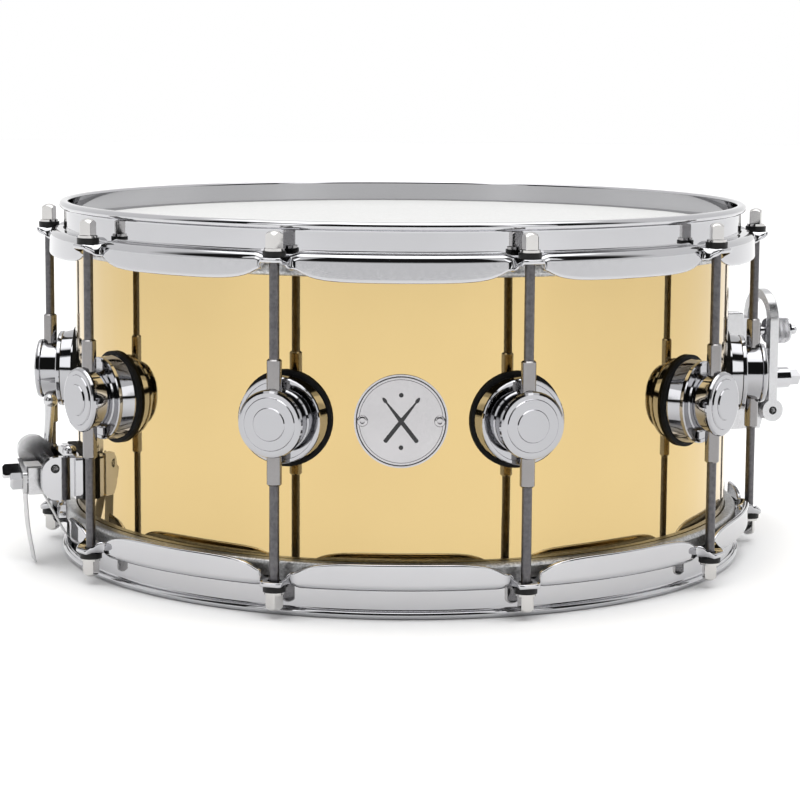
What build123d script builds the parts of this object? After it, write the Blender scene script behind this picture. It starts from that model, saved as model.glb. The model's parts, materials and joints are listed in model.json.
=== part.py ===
from build123d import *

import os
from math import cos, radians, sin, sqrt

os.makedirs("parts", exist_ok=True)

# A fourteen-inch metal snare drum, six and a half inches deep, with ten turret lugs.
# The origin is on the drum's axis in the plane of the lower rim, which the drum stands on.
# Places around the drum are given by the angle from -Y, where the badge is, towards +X.
# At such a place, "out" is away from the axis, "along" is horizontal around the shell.

# ---------------------------------------------------------------- driving dimensions (mm)
RIM_HEIGHT = 188.4  # lower rim plane to upper rim plane
MIDDLE = RIM_HEIGHT / 2
SHELL_RADIUS = 177.0  # a 14 inch shell is about 354 mm across
SHELL_WALL = 1.5
SHELL_HEIGHT = 165.1  # 6.5 inches
EDGE_BEVEL = 3.0
LUG_COUNT = 10
FIRST_LUG = 18.0  # degrees from the badge
ROD_CIRCLE = 192.5
ROD_RADIUS = 2.4
RUNNING_FIT = 0.06  # radial clearance of a shaft that turns in a bore
STRAINER_ANGLE = 108.0
BUTT_ANGLE = STRAINER_ANGLE - 180.0

SHELL_TOP = MIDDLE + SHELL_HEIGHT / 2
SHELL_BOTTOM = MIDDLE - SHELL_HEIGHT / 2
LUG_STEP = 360.0 / LUG_COUNT

# hoop: a pressed sheet with a rolled rim, an upright wall, and a flange with flat ears
HOOP_SHEET = 2.4
HOOP_WALL_OUTSIDE = 182.6
HOOP_WALL_INSIDE = HOOP_WALL_OUTSIDE - HOOP_SHEET
RIM_RADIUS = 185.0
RIM_DEPTH = 4.2
FLANGE_TOP = 172.2  # upper face of the upper hoop's ears
FLANGE_BOTTOM = FLANGE_TOP - HOOP_SHEET
SKIRT_RADIUS = 190.0  # between the ears the flange is bent down into a skirt
SKIRT_BOTTOM = 161.2
BEND_RADIUS = 3.4
EAR_RADIUS = 198.9
EAR_TIP_HALF_WIDTH = 8.0
EAR_ROOT_HALF_WIDTH = 11.5
NOTCH_HALF_WIDTH = 27.0  # the skirt's scallop around each rod
GATE_HALF_WIDTH = 27.0
GATE_BOTTOM = 6.0  # the lower rim stays whole below the gates
GATE_TOP = 32.2
ROD_HOLE_RADIUS = 3.4

# heads
FILM = 0.3
COLLAR_GAP = 0.25
FLESH_HOOP_OUTSIDE = 183.0
FLESH_HOOP_HEIGHT = 7.5


def direction_out(angle):
    return Vector(sin(radians(angle)), -cos(radians(angle)), 0)


def direction_along(angle):
    return Vector(cos(radians(angle)), sin(radians(angle)), 0)


def facing(angle, distance=0.0, height=0.0, along=0.0):
    """A plane that looks outwards: local x runs along, local y up, and its normal out."""
    origin = direction_out(angle) * distance + direction_along(angle) * along + Vector(0, 0, height)
    return Plane(origin=origin, x_dir=direction_along(angle), z_dir=direction_out(angle))


def upright(angle, along=0.0):
    """A plane through the axis: local x is the distance out, local y the height."""
    origin = direction_along(angle) * along
    return Plane(origin=origin, x_dir=direction_out(angle), z_dir=-direction_along(angle))


def level(angle, height):
    """A horizontal plane through the axis: local y is the distance out."""
    return Plane(origin=(0, 0, height), x_dir=-direction_along(angle), z_dir=(0, 0, 1))


def out_axis(angle):
    return Axis(origin=(0, 0, 0), direction=direction_out(angle))


def outermost_face(angle):
    """The flat face of the part being built that is farthest out at that place around the drum."""
    return faces().filter_by(GeomType.PLANE).sort_by(out_axis(angle))[-1]


def save(builder, name):
    builder.part.label = name
    export_step(builder.part, f"parts/{name}.step")


# ---------------------------------------------------------------- shell
LUG_SCREW_SPACING = 19.0
SCREW_RADIUS = 2.4
SCREW_HOLE_RADIUS = 2.7
VENT_RADIUS = 6.0
BED_DEPTH = 2.0
BED_HALF_WIDTH = 40.0
BED_RADIUS = (BED_HALF_WIDTH**2 + BED_DEPTH**2) / (2 * BED_DEPTH)
STRAINER_SCREW_HEIGHTS = (68.0, 112.0)
BUTT_SCREW_HEIGHT = 48.0
BUTT_SCREW_ALONG = 12.0

with BuildPart() as shell:
    with BuildSketch(Plane.XZ):
        with BuildLine():
            Polyline(
                (SHELL_RADIUS, SHELL_BOTTOM + EDGE_BEVEL),
                (SHELL_RADIUS, SHELL_TOP - EDGE_BEVEL),
                (SHELL_RADIUS - EDGE_BEVEL, SHELL_TOP),
                (SHELL_RADIUS - EDGE_BEVEL - SHELL_WALL, SHELL_TOP),
                (SHELL_RADIUS - SHELL_WALL, SHELL_TOP - EDGE_BEVEL - SHELL_WALL),
                (SHELL_RADIUS - SHELL_WALL, SHELL_BOTTOM + EDGE_BEVEL + SHELL_WALL),
                (SHELL_RADIUS - EDGE_BEVEL - SHELL_WALL, SHELL_BOTTOM),
                (SHELL_RADIUS - EDGE_BEVEL, SHELL_BOTTOM),
                close=True,
            )
        make_face()
    revolve(axis=Axis.Z)
    # two shallow snare beds in the lower edge, under the snare straps
    with BuildSketch(facing(STRAINER_ANGLE, 0, SHELL_BOTTOM + BED_DEPTH - BED_RADIUS)):
        Circle(BED_RADIUS)
    extrude(amount=SHELL_RADIUS + 5, both=True, mode=Mode.SUBTRACT)
    # screw holes of the lugs, the strainer and the butt, and the vent at the back
    for number in range(LUG_COUNT):
        lug_angle = FIRST_LUG + number * LUG_STEP
        with BuildSketch(facing(lug_angle, SHELL_RADIUS - 10, MIDDLE)):
            with GridLocations(0, LUG_SCREW_SPACING, 1, 2):
                Circle(SCREW_HOLE_RADIUS)
        extrude(amount=20, mode=Mode.SUBTRACT)
    with BuildSketch(facing(STRAINER_ANGLE, SHELL_RADIUS - 10)):
        with Locations(*[(0, height) for height in STRAINER_SCREW_HEIGHTS]):
            Circle(SCREW_HOLE_RADIUS)
    extrude(amount=20, mode=Mode.SUBTRACT)
    with BuildSketch(facing(BUTT_ANGLE, SHELL_RADIUS - 10, BUTT_SCREW_HEIGHT)):
        with GridLocations(2 * BUTT_SCREW_ALONG, 0, 2, 1):
            Circle(SCREW_HOLE_RADIUS)
    extrude(amount=20, mode=Mode.SUBTRACT)
    with BuildSketch(facing(180, SHELL_RADIUS - 10, MIDDLE)):
        Circle(VENT_RADIUS)
    extrude(amount=20, mode=Mode.SUBTRACT)
save(shell, "shell")

# ---------------------------------------------------------------- hoops
# One hoop: a revolved section, scallops cut in its skirt, and a flat ear at every rod.
with BuildPart() as batter_hoop:
    with BuildSketch(Plane.XZ):
        with BuildLine():
            Polyline(
                (HOOP_WALL_INSIDE, FLANGE_BOTTOM),
                (HOOP_WALL_INSIDE, RIM_HEIGHT),
                (RIM_RADIUS, RIM_HEIGHT),
                (RIM_RADIUS, RIM_HEIGHT - RIM_DEPTH),
                (HOOP_WALL_OUTSIDE, RIM_HEIGHT - RIM_DEPTH - 1.2),
                (HOOP_WALL_OUTSIDE, FLANGE_TOP),
                (SKIRT_RADIUS, FLANGE_TOP),
                (SKIRT_RADIUS, SKIRT_BOTTOM),
                (SKIRT_RADIUS - HOOP_SHEET, SKIRT_BOTTOM),
                (SKIRT_RADIUS - HOOP_SHEET, FLANGE_BOTTOM),
                close=True,
            )
        section = make_face()
        rim_corners = section.vertices().group_by(Axis.Y)[-1].sort_by(Axis.X)
        fillet(rim_corners[-1], 1.9)
        fillet(rim_corners[0], 1.0)
        skirt_corner = vertices().filter_by_position(Axis.X, SKIRT_RADIUS - 0.1, SKIRT_RADIUS + 0.1)
        fillet(skirt_corner.sort_by(Axis.Y)[-1], BEND_RADIUS)
    revolve(axis=Axis.Z)
    for number in range(LUG_COUNT):
        ear_angle = FIRST_LUG + number * LUG_STEP
        with BuildSketch(facing(ear_angle, SKIRT_RADIUS - 8)):
            with BuildLine():
                right = Bezier(
                    (EAR_TIP_HALF_WIDTH, FLANGE_BOTTOM),
                    (NOTCH_HALF_WIDTH / 2, FLANGE_BOTTOM),
                    (NOTCH_HALF_WIDTH / 2, SKIRT_BOTTOM),
                    (NOTCH_HALF_WIDTH, SKIRT_BOTTOM - 0.2),
                )
                left = Bezier(
                    (-EAR_TIP_HALF_WIDTH, FLANGE_BOTTOM),
                    (-NOTCH_HALF_WIDTH / 2, FLANGE_BOTTOM),
                    (-NOTCH_HALF_WIDTH / 2, SKIRT_BOTTOM),
                    (-NOTCH_HALF_WIDTH, SKIRT_BOTTOM - 0.2),
                )
                Line(left @ 0, right @ 0)
                Line(left @ 1, right @ 1)
            make_face()
        extrude(amount=12, mode=Mode.SUBTRACT)
        with BuildSketch(level(ear_angle, FLANGE_BOTTOM)):
            with BuildLine():
                Polyline(
                    (-EAR_ROOT_HALF_WIDTH, SKIRT_RADIUS - 6),
                    (-EAR_ROOT_HALF_WIDTH, SKIRT_RADIUS - 3),
                    (-EAR_TIP_HALF_WIDTH, EAR_RADIUS),
                    (EAR_TIP_HALF_WIDTH, EAR_RADIUS),
                    (EAR_ROOT_HALF_WIDTH, SKIRT_RADIUS - 3),
                    (EAR_ROOT_HALF_WIDTH, SKIRT_RADIUS - 6),
                    close=True,
                )
            ear = make_face()
            fillet(ear.vertices().group_by(Axis.Y)[-1], 4.0)
        extrude(amount=HOOP_SHEET)
        with BuildSketch(Plane.XY.offset(FLANGE_BOTTOM - 3)):
            with Locations(direction_out(ear_angle) * ROD_CIRCLE):
                Circle(ROD_HOLE_RADIUS)
        extrude(amount=8, mode=Mode.SUBTRACT)
save(batter_hoop, "batter_hoop")

HALFWAY = Plane.XY.offset(MIDDLE)
with BuildPart() as snare_side_hoop:
    mirror(batter_hoop.part, about=HALFWAY)
    # gates that let the snare straps out
    for gate_angle in (STRAINER_ANGLE, BUTT_ANGLE):
        with BuildSketch(facing(gate_angle, HOOP_WALL_INSIDE - 8, (GATE_BOTTOM + GATE_TOP) / 2)):
            Rectangle(2 * GATE_HALF_WIDTH, GATE_TOP - GATE_BOTTOM)
        extrude(amount=EAR_RADIUS - HOOP_WALL_INSIDE + 13, mode=Mode.SUBTRACT)
save(snare_side_hoop, "snare_side_hoop")

# ---------------------------------------------------------------- heads
FILM_INSIDE = SHELL_RADIUS + COLLAR_GAP
FILM_OUTSIDE = FILM_INSIDE + FILM
FILM_END = FLANGE_BOTTOM - FLESH_HOOP_HEIGHT + 1.5

with BuildPart() as batter_head_film:
    with BuildSketch(Plane.XZ):
        with BuildLine():
            Polyline(
                (0, SHELL_TOP),
                (SHELL_RADIUS - EDGE_BEVEL, SHELL_TOP),
                (FILM_INSIDE, SHELL_TOP - EDGE_BEVEL - COLLAR_GAP),
                (FILM_INSIDE, FILM_END),
                (FILM_OUTSIDE, FILM_END),
                (FILM_OUTSIDE, SHELL_TOP - EDGE_BEVEL - COLLAR_GAP + FILM / 2),
                (SHELL_RADIUS - EDGE_BEVEL + FILM / 2, SHELL_TOP + FILM),
                (0, SHELL_TOP + FILM),
                close=True,
            )
        make_face()
    revolve(axis=Axis.Z)
save(batter_head_film, "batter_head_film")

with BuildPart() as batter_flesh_hoop:
    with BuildSketch(Plane.XZ):
        with BuildLine():
            Polyline(
                (FILM_OUTSIDE, FLANGE_BOTTOM - FLESH_HOOP_HEIGHT),
                (FILM_OUTSIDE, FLANGE_BOTTOM),
                (FLESH_HOOP_OUTSIDE, FLANGE_BOTTOM),
                (FLESH_HOOP_OUTSIDE, FLANGE_BOTTOM - FLESH_HOOP_HEIGHT),
                close=True,
            )
        flesh_section = make_face()
        fillet(flesh_section.vertices().group_by(Axis.X)[-1].sort_by(Axis.Y)[0], 2.0)
    revolve(axis=Axis.Z)
save(batter_flesh_hoop, "batter_flesh_hoop")

with BuildPart() as snare_side_film:
    mirror(batter_head_film.part, about=HALFWAY)
save(snare_side_film, "snare_side_film")

with BuildPart() as snare_side_flesh_hoop:
    mirror(batter_flesh_hoop.part, about=HALFWAY)
save(snare_side_flesh_hoop, "snare_side_flesh_hoop")

# ---------------------------------------------------------------- turret lugs
GASKET_RADIUS = 23.2
GASKET_THICKNESS = 1.8
SEAT_GAP = 0.02
BARREL_BASE_RADIUS = 21.6  # the barrel tapers from the gasket to the ring
BARREL_TOP_RADIUS = 20.2
RING_BACK = 184.8
RING_FRONT = 187.2
RING_RADIUS = 20.7
NECK_RADIUS = 14.6
TURRET_RADIUS = 16.2
TURRET_FACE = 200.2
TURRET_STEP = 0.6  # height of each of the two steps in the turret's face
TURRET_STEP_RADII = (12.6, 7.8)
TURRET_BACK = TURRET_FACE - 4.0
TUBE_RADIUS = 3.6
TUBE_BORE = ROD_RADIUS + RUNNING_FIT
TUBE_REACH = 30.0  # from the lug's middle to the tube's open end
TUBE_INNER_END = 5.0

# one lug, at the badge's angle, copied to each place around the shell
with BuildPart() as one_gasket:
    with BuildSketch(facing(0, SHELL_RADIUS - 8, MIDDLE)):
        Circle(GASKET_RADIUS)
    extrude(amount=16)
    Cylinder(SHELL_RADIUS + GASKET_THICKNESS, 400, mode=Mode.INTERSECT)
    Cylinder(SHELL_RADIUS + SEAT_GAP, 400, mode=Mode.SUBTRACT)
    with BuildSketch(facing(0, SHELL_RADIUS - 8, MIDDLE)):
        with GridLocations(0, LUG_SCREW_SPACING, 1, 2):
            Circle(SCREW_HOLE_RADIUS)
    extrude(amount=16, mode=Mode.SUBTRACT)

with BuildPart() as one_lug:
    with BuildSketch(Plane(origin=(0, 0, MIDDLE), x_dir=direction_out(0), z_dir=-direction_along(0))):
        with BuildLine():
            Polyline(
                (SHELL_RADIUS - 4, 0),
                (SHELL_RADIUS - 4, BARREL_BASE_RADIUS),
                (SHELL_RADIUS + GASKET_THICKNESS, BARREL_BASE_RADIUS),
                (RING_BACK, BARREL_TOP_RADIUS),
                (RING_BACK, RING_RADIUS - 0.3),
                (RING_BACK + 0.3, RING_RADIUS),
                (RING_FRONT - 0.5, RING_RADIUS),
                (RING_FRONT, RING_RADIUS - 0.5),
                (RING_FRONT, RING_RADIUS - 1.9),
                (RING_FRONT - 0.4, RING_RADIUS - 2.1),
                (RING_FRONT - 0.4, NECK_RADIUS + 0.6),
                (RING_FRONT + 0.2, NECK_RADIUS),
                (TURRET_BACK, NECK_RADIUS),
                (TURRET_BACK, TURRET_RADIUS - 0.4),
                (TURRET_BACK + 0.4, TURRET_RADIUS),
                (TURRET_FACE - 2.7, TURRET_RADIUS),
                (TURRET_FACE - 1.6, TURRET_RADIUS - 0.5),
                (TURRET_FACE - 2 * TURRET_STEP, TURRET_RADIUS - 1.5),
                (TURRET_FACE - 2 * TURRET_STEP, TURRET_STEP_RADII[0] + 0.2),
                (TURRET_FACE - TURRET_STEP, TURRET_STEP_RADII[0] - 0.2),
                (TURRET_FACE - TURRET_STEP, TURRET_STEP_RADII[1] + 0.2),
                (TURRET_FACE, TURRET_STEP_RADII[1] - 0.2),
                (TURRET_FACE, 0),
                close=True,
            )
        make_face()
    revolve(axis=Axis((0, 0, MIDDLE), direction_out(0)))
    Cylinder(SHELL_RADIUS + GASKET_THICKNESS + SEAT_GAP, 400, mode=Mode.SUBTRACT)
    with BuildSketch(Plane.XY.offset(MIDDLE - 40)):
        with Locations(direction_out(0) * ROD_CIRCLE):
            Circle(TUBE_RADIUS)
    extrude(amount=80, mode=Mode.SUBTRACT)
    with BuildSketch(facing(0, SHELL_RADIUS, MIDDLE)):
        with GridLocations(0, LUG_SCREW_SPACING, 1, 2):
            Circle(SCREW_RADIUS + 0.1)
    extrude(amount=9, mode=Mode.SUBTRACT)

with BuildPart() as one_receiver:
    with BuildSketch(Plane.XY.offset(MIDDLE + TUBE_INNER_END)):
        with Locations(direction_out(0) * ROD_CIRCLE):
            Circle(TUBE_RADIUS)
            Circle(TUBE_BORE, mode=Mode.SUBTRACT)
    extrude(amount=TUBE_REACH - TUBE_INNER_END)
    chamfer(edges().group_by(Axis.Z)[-1].filter_by(GeomType.CIRCLE).sort_by(SortBy.RADIUS)[-1], 0.7)

WASHER_THICKNESS = 1.0
WASHER_RADIUS = 6.0
SCREW_HEAD_RADIUS = 4.4
SCREW_HEAD_HEIGHT = 2.6


def screw_from_inside(angle, height, along=0.0):
    """A pan-head screw and its washer, held inside the shell with the shaft pointing out."""
    # the flat washer meets the curved wall at its edge
    seat = sqrt((SHELL_RADIUS - SHELL_WALL) ** 2 - (abs(along) + WASHER_RADIUS) ** 2) - 0.05
    with BuildPart(mode=Mode.PRIVATE) as screw:
        with BuildSketch(facing(angle, seat - WASHER_THICKNESS, height, along)):
            Circle(WASHER_RADIUS)
        extrude(amount=WASHER_THICKNESS)
        with BuildSketch(facing(angle, seat - WASHER_THICKNESS, height, along)):
            Circle(SCREW_HEAD_RADIUS)
        extrude(amount=-SCREW_HEAD_HEIGHT)
        chamfer(faces().sort_by(out_axis(angle))[0].edges(), 0.9)
        with BuildSketch(facing(angle, seat, height, along)):
            Circle(SCREW_RADIUS)
        extrude(amount=SHELL_RADIUS + 8 - seat)
    return screw.part


with BuildPart() as lug_gaskets:
    with PolarLocations(0, LUG_COUNT, start_angle=FIRST_LUG):
        add(one_gasket.part)
save(lug_gaskets, "lug_gaskets")

with BuildPart() as lug_bodies:
    with PolarLocations(0, LUG_COUNT, start_angle=FIRST_LUG):
        add(one_lug.part)
save(lug_bodies, "lug_bodies")

with BuildPart() as lug_receivers:
    with PolarLocations(0, LUG_COUNT, start_angle=FIRST_LUG):
        add(one_receiver.part)
        add(one_receiver.part.mirror(HALFWAY))
save(lug_receivers, "lug_receivers")

lug_screw_pair = [
    screw_from_inside(0, MIDDLE - LUG_SCREW_SPACING / 2),
    screw_from_inside(0, MIDDLE + LUG_SCREW_SPACING / 2),
]
with BuildPart() as lug_screws:
    with PolarLocations(0, LUG_COUNT, start_angle=FIRST_LUG):
        add(lug_screw_pair)
save(lug_screws, "lug_screws")

# ---------------------------------------------------------------- tension rods
ROD_WASHER_RADIUS = 5.5
ROD_WASHER_THICKNESS = 2.7
ROD_COLLAR_RADIUS = 4.8
ROD_COLLAR_THICKNESS = 1.2
KEY_SQUARE = 6.3
KEY_HEIGHT = 8.4
KEY_DOME_RADIUS = 4.6
KEY_DOME_DEPTH = 3.0
ROD_END = MIDDLE + 8.0
HEAD_TURN = 37.0  # the square heads stop at different turns around the drum
WASHER_TOP = FLANGE_TOP + ROD_WASHER_THICKNESS
COLLAR_BASE = WASHER_TOP + RUNNING_FIT
KEY_BASE = COLLAR_BASE + ROD_COLLAR_THICKNESS
KEY_TOP = KEY_BASE + KEY_HEIGHT

with BuildPart() as one_rod_washer:
    with BuildSketch(Plane.XY.offset(FLANGE_TOP)):
        with Locations(direction_out(0) * ROD_CIRCLE):
            Circle(ROD_WASHER_RADIUS)
            Circle(ROD_RADIUS + RUNNING_FIT, mode=Mode.SUBTRACT)
    extrude(amount=ROD_WASHER_THICKNESS)

with BuildPart() as rod_washers_top:
    with PolarLocations(0, LUG_COUNT, start_angle=FIRST_LUG):
        add(one_rod_washer.part)
save(rod_washers_top, "rod_washers_top")

with BuildPart() as rod_washers_bottom:
    mirror(rod_washers_top.part, about=HALFWAY)
save(rod_washers_bottom, "rod_washers_bottom")

with BuildPart() as one_rod:
    with BuildSketch(Plane.XY.offset(KEY_BASE)):
        Rectangle(KEY_SQUARE, KEY_SQUARE)
    extrude(amount=KEY_HEIGHT)
    chamfer(edges().filter_by(Axis.Z), 0.5)
    with BuildSketch(Plane.XZ):
        with BuildLine():
            dome = ThreePointArc(
                (0, KEY_TOP),
                (2.6, KEY_TOP - 0.7),
                (KEY_DOME_RADIUS, KEY_TOP - KEY_DOME_DEPTH),
            )
            Polyline(dome @ 1, (KEY_DOME_RADIUS, KEY_BASE), (0, KEY_BASE), dome @ 0)
        make_face()
    revolve(axis=Axis.Z, mode=Mode.INTERSECT)
    with BuildSketch(Plane.XY.offset(COLLAR_BASE)):
        Circle(ROD_COLLAR_RADIUS)
    extrude(amount=ROD_COLLAR_THICKNESS)
    with BuildSketch(Plane.XY.offset(ROD_END)):
        Circle(ROD_RADIUS)
    extrude(amount=COLLAR_BASE - ROD_END)
    chamfer(faces().sort_by(Axis.Z)[0].edges(), 0.8)

for number in range(LUG_COUNT):
    rod_angle = FIRST_LUG + number * LUG_STEP
    place = direction_out(rod_angle) * ROD_CIRCLE
    turned = one_rod.part.rotate(Axis.Z, rod_angle + HEAD_TURN * number)
    with BuildPart() as tension_rod_top:
        with Locations(place):
            add(turned)
    save(tension_rod_top, f"tension_rod_top_{number + 1}")
    with BuildPart() as tension_rod_bottom:
        mirror(tension_rod_top.part, about=HALFWAY)
    save(tension_rod_bottom, f"tension_rod_bottom_{number + 1}")

# ---------------------------------------------------------------- badge and vent
BADGE_RADIUS = 22.3
BADGE_THICKNESS = 0.9
BADGE_RIVET_SPACING = 36.6
RIVET_RADIUS = 2.7
RIVET_HEIGHT = 1.1

with BuildPart() as badge_plate:
    with BuildSketch(facing(0, SHELL_RADIUS - 8, MIDDLE)):
        Circle(BADGE_RADIUS)
    extrude(amount=16)
    Cylinder(SHELL_RADIUS + BADGE_THICKNESS, 400, mode=Mode.INTERSECT)
    Cylinder(SHELL_RADIUS + SEAT_GAP, 400, mode=Mode.SUBTRACT)
save(badge_plate, "badge_plate")

with BuildPart() as badge_rivets:
    rivet_inner_edge = BADGE_RIVET_SPACING / 2 - RIVET_RADIUS
    rivet_seat = sqrt((SHELL_RADIUS + BADGE_THICKNESS) ** 2 - rivet_inner_edge**2) + SEAT_GAP
    with BuildSketch(facing(0, rivet_seat, MIDDLE)):
        with GridLocations(BADGE_RIVET_SPACING, 0, 2, 1):
            Circle(RIVET_RADIUS)
    extrude(amount=RIVET_HEIGHT)
    chamfer(faces().sort_by(Axis.Y).edges().filter_by(GeomType.CIRCLE).group_by(Axis.Y)[0], 0.6)
save(badge_rivets, "badge_rivets")

with BuildPart() as vent_grommet:
    with BuildSketch(upright(180)):
        with BuildLine():
            Polyline(
                (SHELL_RADIUS - SHELL_WALL - 1.0, MIDDLE + VENT_RADIUS - 1.4),
                (SHELL_RADIUS - SHELL_WALL - 1.0, MIDDLE + VENT_RADIUS - 0.1),
                (SHELL_RADIUS + 0.05, MIDDLE + VENT_RADIUS - 0.1),
                (SHELL_RADIUS + 0.05, MIDDLE + VENT_RADIUS + 2.8),
                (SHELL_RADIUS + 1.0, MIDDLE + VENT_RADIUS + 2.4),
                (SHELL_RADIUS + 1.6, MIDDLE + VENT_RADIUS),
                (SHELL_RADIUS + 1.0, MIDDLE + VENT_RADIUS - 1.4),
                close=True,
            )
        make_face()
    revolve(axis=Axis((0, 0, MIDDLE), direction_out(180)))
save(vent_grommet, "vent_grommet")

# ---------------------------------------------------------------- throw-off (strainer)
# In the upright plane through the throw-off, points are (distance out, height).
THROW_BASE = 180.0
THROW_FRONT = 215.0
THROW_HALF_WIDTH = 15.0
THROW_BOTTOM = 57.5
THROW_TOP = 122.5
THROW_FOOT = THROW_BOTTOM + 0.5
BLOCK_TOP = 101.0  # the block that the lever closes against
BLOCK_BOTTOM = 69.0
BLOCK_ROUNDING = 10.5
MAGNET_HEIGHT = 95.0
MAGNET_ALONG = 11.9
MAGNET_RADIUS = 2.55
MAGNET_LENGTH = 2.4
CLAMP_BOLT_RADIUS = 2.5
CLAMP_BOLT_COLLAR = 235.4  # outer end of the clamp bolt's collar
CLAMP_BOLT_COLLAR_RADIUS = 6.1
CLAMP_BOLT_KEY_LENGTH = 8.2
CLAMP_PLATE = 2.4
KNOB_RADIUS = 7.6
KNOB_BACK = 221.6
KNOB_LENGTH = 12.9
KNOB_SHAFT_RADIUS = 2.5
SLOT_HALF_WIDTH = 7.6
SLOT_BACK = 190.1
PIVOT_OUT = 218.4
PIVOT_HEIGHT = 65.4
PIN_RADIUS = 2.25
LOBE_RADIUS = 6.2
CHEEK_HALF_WIDTH = 11.7
LEVER_BACK = 215.6
LEVER_THICKNESS = 5.6
LEVER_HALF_WIDTH = 17.0
LEVER_OPENING = 12.0
LEVER_ARCH_HEIGHT = 117.0  # centre of the arch's rounded top
KNOB_HEIGHT = 109.5
CLAMP_BOLT_HEIGHT = 81.7
STRAP_THICKNESS = 0.6
STRAP_HALF_WIDTH = 7.25
STRAP_CLAMP_OUT = 196.5  # middle of the strap's thickness where the throw-off holds it

throw_middle = (THROW_BOTTOM + THROW_TOP) / 2
with BuildPart() as strainer_gasket:
    with BuildSketch(facing(STRAINER_ANGLE, SHELL_RADIUS - 4, throw_middle)):
        Rectangle(2 * THROW_HALF_WIDTH + 1, THROW_TOP - THROW_BOTTOM + 1)
        fillet(vertices(), 4)
        with Locations(*[(0, height - throw_middle) for height in STRAINER_SCREW_HEIGHTS]):
            Circle(SCREW_HOLE_RADIUS, mode=Mode.SUBTRACT)
    extrude(amount=THROW_BASE - SHELL_RADIUS + 4)
    Cylinder(SHELL_RADIUS + SEAT_GAP, 400, mode=Mode.SUBTRACT)
save(strainer_gasket, "strainer_gasket")

with BuildPart() as strainer_body:
    with BuildSketch(upright(STRAINER_ANGLE)):
        with BuildLine():
            Polyline(
                (THROW_BASE + SEAT_GAP, THROW_FOOT),
                (THROW_BASE + SEAT_GAP, THROW_TOP),
                (199.0, THROW_TOP),
                (201.0, BLOCK_TOP),
                (THROW_FRONT, BLOCK_TOP),
                (THROW_FRONT, BLOCK_BOTTOM + BLOCK_ROUNDING),
            )
            RadiusArc(
                (THROW_FRONT, BLOCK_BOTTOM + BLOCK_ROUNDING),
                (THROW_FRONT - BLOCK_ROUNDING, BLOCK_BOTTOM),
                BLOCK_ROUNDING,
            )
            Polyline(
                (THROW_FRONT - BLOCK_ROUNDING, BLOCK_BOTTOM),
                (193.0, BLOCK_BOTTOM),
                (191.0, THROW_FOOT),
                (THROW_BASE + SEAT_GAP, THROW_FOOT),
            )
        make_face()
    extrude(amount=THROW_HALF_WIDTH, both=True)
    fillet(edges().filter_by_position(Axis.Z, THROW_TOP - 0.1, THROW_TOP + 0.1).filter_by(GeomType.LINE), 1.2)
    # the pivot cheeks below the block
    with BuildSketch(upright(STRAINER_ANGLE)):
        with BuildLine():
            Polyline(
                (190.5, 72.0),
                (190.5, THROW_FOOT),
                (195.0, 54.7),
                (213.0, 54.7),
                (214.6, PIVOT_HEIGHT - 5.0),
                (PIVOT_OUT, PIVOT_HEIGHT),
                (212.0, 76.0),
                (204.0, 76.0),
                close=True,
            )
        make_face()
        with Locations((PIVOT_OUT, PIVOT_HEIGHT)):
            Circle(LOBE_RADIUS - 0.3)
    extrude(amount=CHEEK_HALF_WIDTH, both=True)
    # the channel that the carriage slides in, open at the front, top and bottom
    with BuildSketch(upright(STRAINER_ANGLE)):
        with Locations((SLOT_BACK + 25, MIDDLE)):
            Rectangle(50, 100)
    extrude(amount=SLOT_HALF_WIDTH, both=True, mode=Mode.SUBTRACT)
    with BuildSketch(upright(STRAINER_ANGLE)):
        with Locations((PIVOT_OUT, PIVOT_HEIGHT)):
            Circle(PIN_RADIUS + 0.01)
    extrude(amount=20, both=True, mode=Mode.SUBTRACT)
    with BuildSketch(facing(STRAINER_ANGLE, THROW_BASE - 1)):
        with Locations(*[(0, height) for height in STRAINER_SCREW_HEIGHTS]):
            Circle(SCREW_RADIUS + 0.1)
    extrude(amount=8, mode=Mode.SUBTRACT)
    # seats of the two magnets that hold the lever shut
    with BuildSketch(facing(STRAINER_ANGLE, THROW_FRONT - MAGNET_LENGTH, MAGNET_HEIGHT)):
        with GridLocations(2 * MAGNET_ALONG, 0, 2, 1):
            Circle(MAGNET_RADIUS + 0.05)
    extrude(amount=5, mode=Mode.SUBTRACT)
save(strainer_body, "strainer_body")

with BuildPart() as strainer_magnets:
    with BuildSketch(facing(STRAINER_ANGLE, THROW_FRONT - MAGNET_LENGTH + SEAT_GAP, MAGNET_HEIGHT)):
        with GridLocations(2 * MAGNET_ALONG, 0, 2, 1):
            Circle(MAGNET_RADIUS)
    extrude(amount=MAGNET_LENGTH)
save(strainer_magnets, "strainer_magnets")

with BuildPart() as strainer_pin:
    with BuildSketch(upright(STRAINER_ANGLE)):
        with Locations((PIVOT_OUT, PIVOT_HEIGHT)):
            Circle(PIN_RADIUS)
    extrude(amount=LEVER_HALF_WIDTH + 0.1, both=True)
save(strainer_pin, "strainer_pin")

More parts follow.
